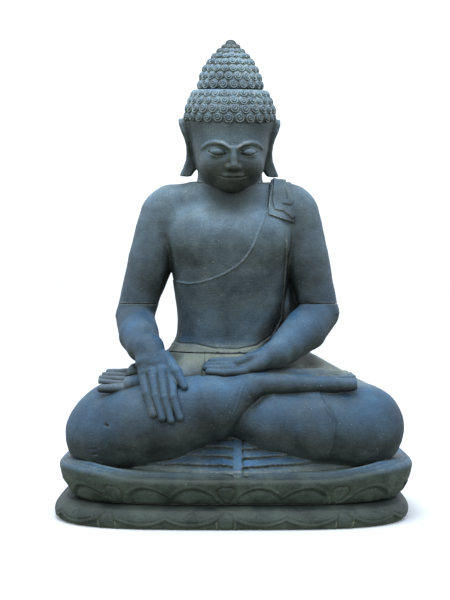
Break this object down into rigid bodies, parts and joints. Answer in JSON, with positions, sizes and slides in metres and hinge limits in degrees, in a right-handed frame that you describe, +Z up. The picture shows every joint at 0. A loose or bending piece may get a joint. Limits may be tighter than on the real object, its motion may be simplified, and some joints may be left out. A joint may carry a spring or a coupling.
{
  "type": "buddha statue",
  "caption": "Seated stone buddha in full lotus on a two-tier lotus plinth, right hand reaching down over the shin, tall curled crown knot.",
  "frame": {"origin": "middle of the plinth's flat underside, on the ground", "axes": "+Z up through the head; the figure faces -Y; +X is towards the figure's left hand"},
  "size_m": [0.748, 0.47, 0.9971],
  "materials": {
    "stone": "fine-chiselled, weathered, dust in the hollows",
    "mortar": "weathered lime mortar",
    "steel": "plain drawn bar"
  },
  "bodies": {
    "root": {"lower_plinth": "stone", "upper_plinth": "stone", "crossed_legs": "stone", "torso": "stone", "right_forearm": "stone", "left_forearm": "stone", "head": "stone", "ushnisha": "stone", "plinth_mortar_bed": "mortar", "seat_mortar_bed": "mortar", "waist_mortar_bed": "mortar", "neck_mortar_joint": "mortar", "ushnisha_mortar_joint": "mortar", "right_elbow_filler": "mortar", "left_elbow_filler": "mortar", "neck_dowel": "steel", "ushnisha_dowel": "steel", "plinth_dowel_right": "steel", "plinth_dowel_left": "steel", "seat_dowel_right": "steel", "seat_dowel_left": "steel", "waist_dowel_right": "steel", "waist_dowel_left": "steel", "elbow_dowel_right": "steel", "elbow_dowel_left": "steel"}
  },
  "joints": []
}
